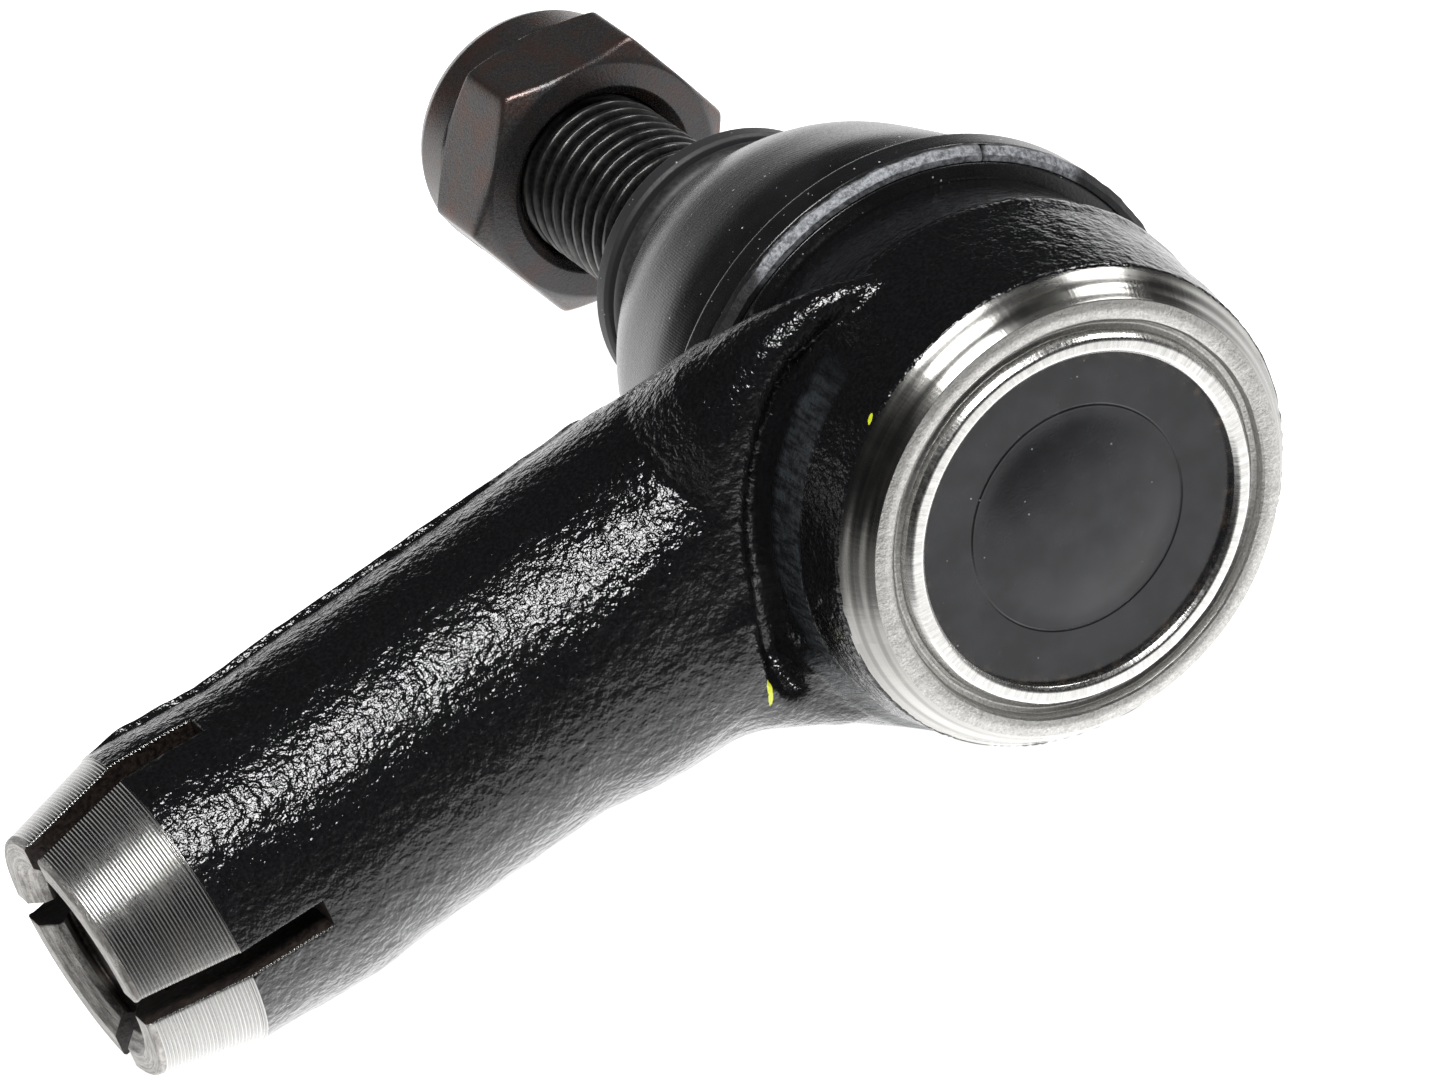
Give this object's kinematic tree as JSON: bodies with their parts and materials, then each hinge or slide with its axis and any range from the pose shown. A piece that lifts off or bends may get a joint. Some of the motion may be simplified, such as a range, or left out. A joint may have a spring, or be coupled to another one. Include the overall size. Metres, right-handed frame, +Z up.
{
  "type": "tie rod end",
  "caption": "Outer tie rod end: ball stud in a forged housing with a rubber dust boot, lock nut, and an arm ending in a slotted clamping cone with a thread bore.",
  "frame": {"origin": "centre of the ball, where the stud's axis and the joint's two tilt axes cross", "axes": "+Y along the stud from the ball to the lock nut, -X along the arm from the head to its threaded end, +Z up as the part lies on a bench"},
  "size_m": [0.0871, 0.078, 0.0382],
  "materials": {
    "black_paint": "gloss",
    "seat_plastic": "satin",
    "cover_steel": "matte",
    "stud_steel": "satin",
    "boot_rubber": "satin",
    "ring_steel": "satin",
    "spring_steel": "satin",
    "nut_steel": "satin",
    "nylon": "satin"
  },
  "bodies": {
    "housing": {"forged_housing": "black_paint", "ball_seat": "seat_plastic", "end_cap": "cover_steel", "base_clamp_ring": "ring_steel"},
    "boot": {"dust_boot": "boot_rubber"},
    "swivel": {"upper_spring_ring": "spring_steel"},
    "stud": {"ball_stud": "stud_steel"},
    "nut": {"lock_nut": "nut_steel"},
    "locking_ring": {"nylon_insert": "nylon"}
  },
  "joints": [
    {"name": "tilt_along_arm", "type": "hinge", "parent": "housing", "child": "boot", "pos_m": [0, 0, 0], "axis": [0, 0, 1], "range_deg": [-20, 20], "deforming": ["dust_boot"]},
    {"name": "tilt_across_arm", "type": "hinge", "parent": "boot", "child": "swivel", "pos_m": [0, 0, 0], "axis": [1, 0, 0], "range_deg": [-20, 20], "deforming": ["dust_boot"]},
    {"name": "stud_spin", "type": "hinge", "parent": "swivel", "child": "stud", "pos_m": [0, 0, 0], "axis": [0, 1, 0], "continuous": true},
    {"name": "nut_travel", "type": "slide", "parent": "stud", "child": "locking_ring", "axis": [0, 1, 0], "range_m": [-0.0166, 0.0381]},
    {"name": "nut_turn", "type": "hinge", "parent": "locking_ring", "child": "nut", "pos_m": [0, 0, 0], "axis": [0, 1, 0], "range_deg": [-3960, 9120]}
  ],
  "couplings": [
    {"joint": "nut_travel", "follows": "nut_turn", "m_per_rad": 0.00023873}
  ]
}
